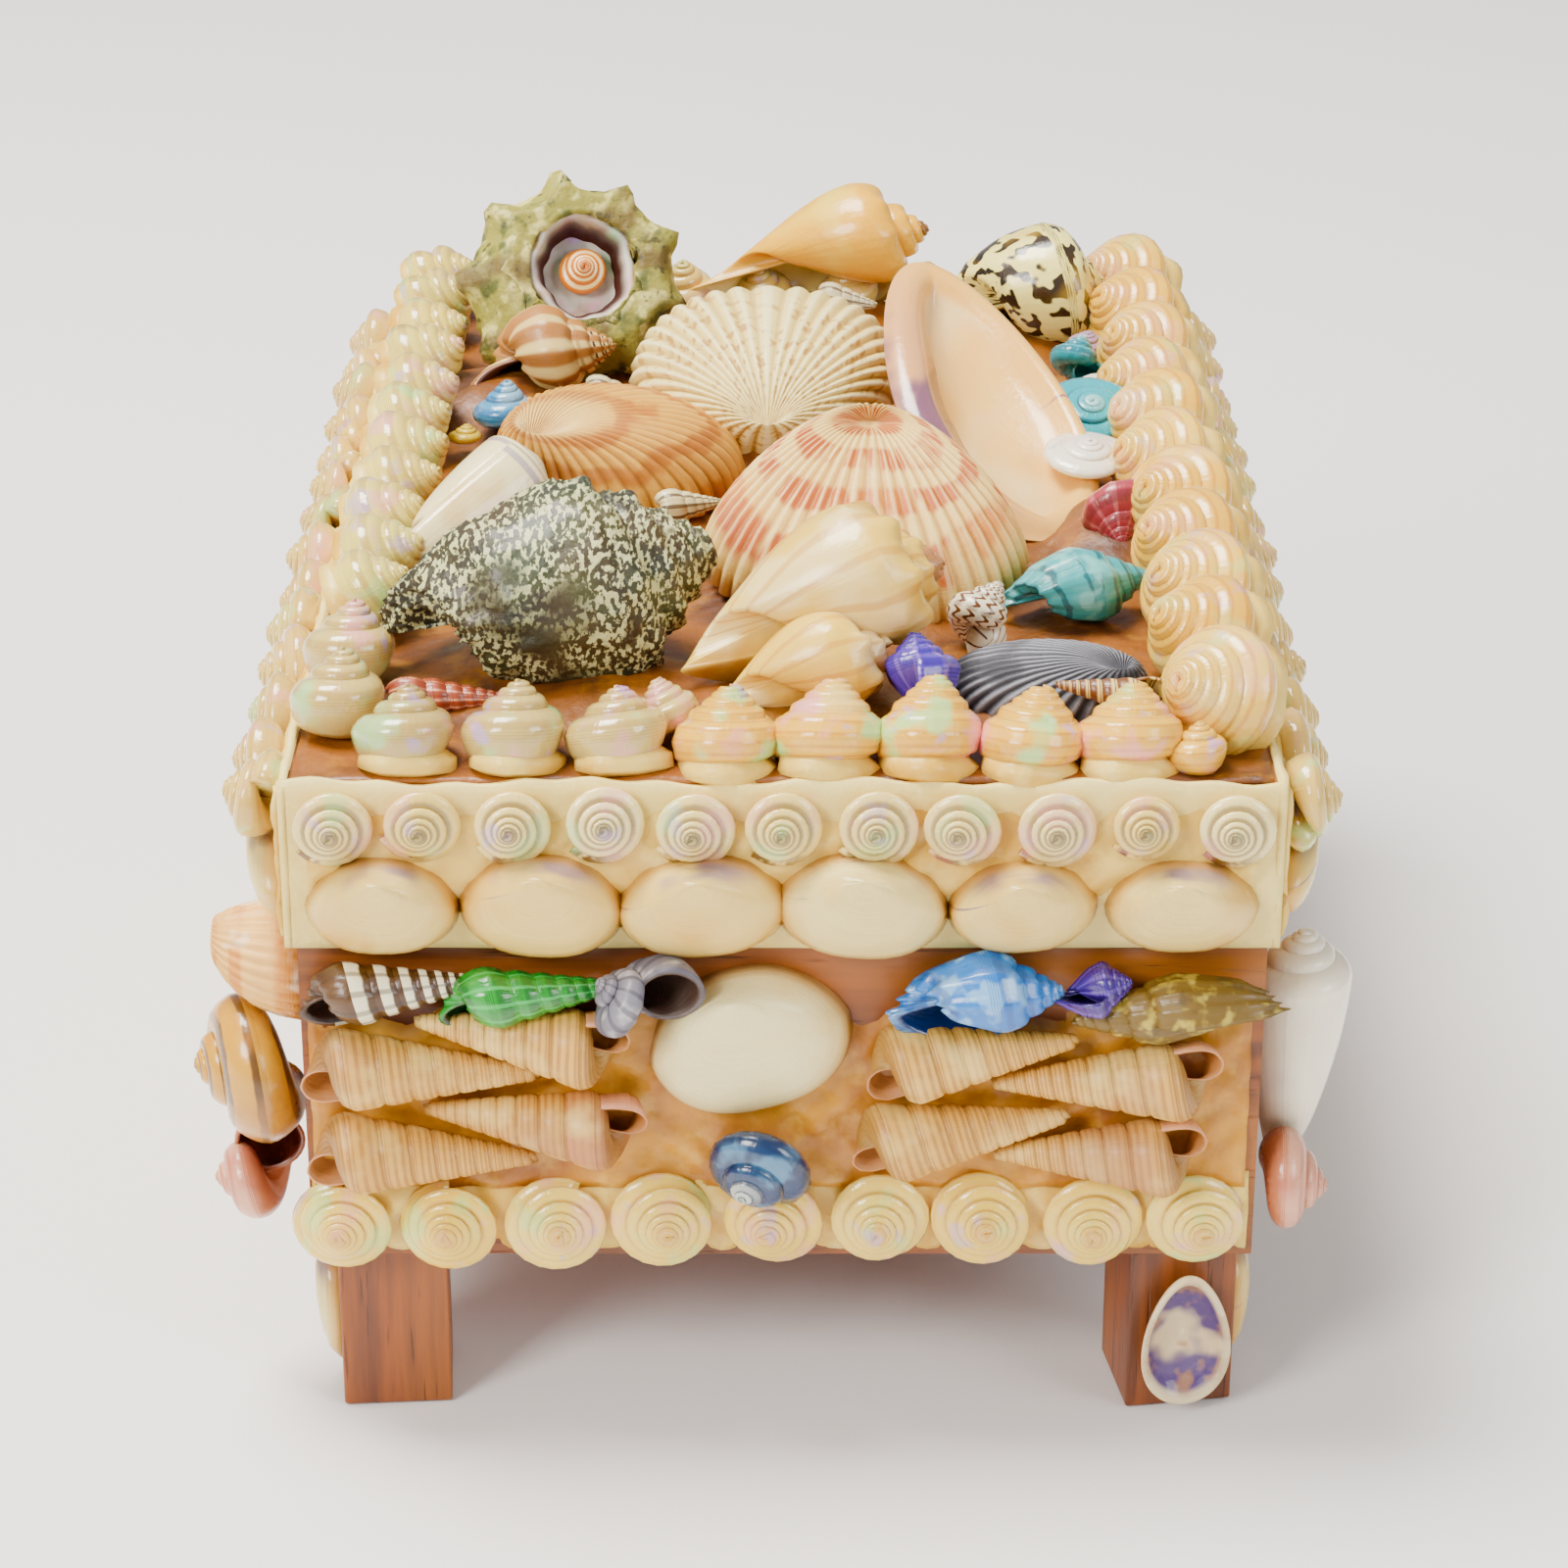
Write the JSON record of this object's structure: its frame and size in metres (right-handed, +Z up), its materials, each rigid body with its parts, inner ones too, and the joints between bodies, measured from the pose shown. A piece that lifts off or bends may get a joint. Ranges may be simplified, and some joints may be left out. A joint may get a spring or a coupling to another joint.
{
  "type": "shell box",
  "caption": "Small rectangular keepsake box on four block legs with a lift-off papered lid, covered in glued sea shells; holds trinkets inside.",
  "frame": {"origin": "on the ground under the middle of the object's overall reach", "axes": "+X to the right as seen from the front, +Y towards the rear along the lid's length, +Z up"},
  "size_m": [0.1336, 0.1822, 0.1058],
  "materials": {
    "box_wood": "reddish brown stain, satin",
    "leg_wood": "golden brown stain, satin",
    "lid_paper": "aged cream, matt",
    "pearl_shell": "cream nacre, pearly",
    "peach_shell": "peach nacre, pearly",
    "white_shell": "cream white, smooth",
    "auger_shell": "peach tan, dull",
    "cockle_shell": "cream with salmon, dull",
    "cream_shell": "cream yellow, satin",
    "dark_shell": "black green with cream flecks, rough",
    "moss_shell": "olive cream, rough",
    "spotted_shell": "cream with black or brown marks, glossy",
    "whelk_shell": "cream with pink lip, satin",
    "pink_shell": "coral pink, satin",
    "rose_shell": "dusty rose dye, satin",
    "blue_shell": "blue dye, satin",
    "teal_shell": "teal dye, satin",
    "green_shell": "green dye, satin",
    "violet_shell": "violet dye, satin",
    "grey_shell": "grey, dull",
    "brown_shell": "brown and white bands, satin",
    "olive_shell": "olive brown, rough"
  },
  "bodies": {
    "root": {"banded_cerith": "brown_shell", "beige_conch": "cream_shell", "blue_top_shell": "blue_shell", "blue_turban": "blue_shell", "blue_whelk": "blue_shell", "boat_shell": "cream_shell", "box_body": "box_wood", "cockle_front": "cockle_shell", "cockle_left": "cockle_shell", "cockle_rear": "cockle_shell", "coral_clam": "pink_shell", "dark_turban": "dark_shell", "front_auger_fan_left": "auger_shell", "front_auger_fan_right": "auger_shell", "front_base_button_row": "pearl_shell", "front_clam": "white_shell", "green_cerith": "green_shell", "grey_ark": "grey_shell", "grey_snail": "grey_shell", "left_wall_shells": "white_shell", "leg_front_left": "leg_wood", "leg_front_right": "leg_wood", "leg_rear_left": "leg_wood", "leg_rear_right": "leg_wood", "leg_valve_front": "violet_shell", "leg_valve_left": "white_shell", "leg_valve_right": "white_shell", "lid": "lid_paper", "lid_front_button_row": "pearl_shell", "lid_front_clam_row": "white_shell", "lid_left_shells": "pearl_shell", "lid_rear_shells": "pearl_shell", "lid_right_shells": "pearl_shell", "olive_cerith": "olive_shell", "pale_olive": "cream_shell", "pearl_button": "white_shell", "pink_cerith": "rose_shell", "pink_snail_left": "pink_shell", "pink_snail_right": "rose_shell", "purple_whelk": "violet_shell", "rear_wall_shells": "white_shell", "ribbed_whelk": "whelk_shell", "right_wall_shells": "white_shell", "rose_turban": "rose_shell", "small_auger": "brown_shell", "spiny_turban": "moss_shell", "spotted_nerite": "spotted_shell", "spotted_snail": "white_shell", "striped_snail": "spotted_shell", "teal_ribbed_snail": "teal_shell", "teal_whelk": "teal_shell", "top_front_border": "peach_shell", "top_left_border": "pearl_shell", "top_rear_border": "pearl_shell", "top_right_border": "peach_shell", "turquoise_button": "teal_shell", "violet_snail": "violet_shell", "white_cowrie": "white_shell", "white_spiral_snail": "white_shell", "yellow_conch": "cream_shell"}
  },
  "joints": []
}
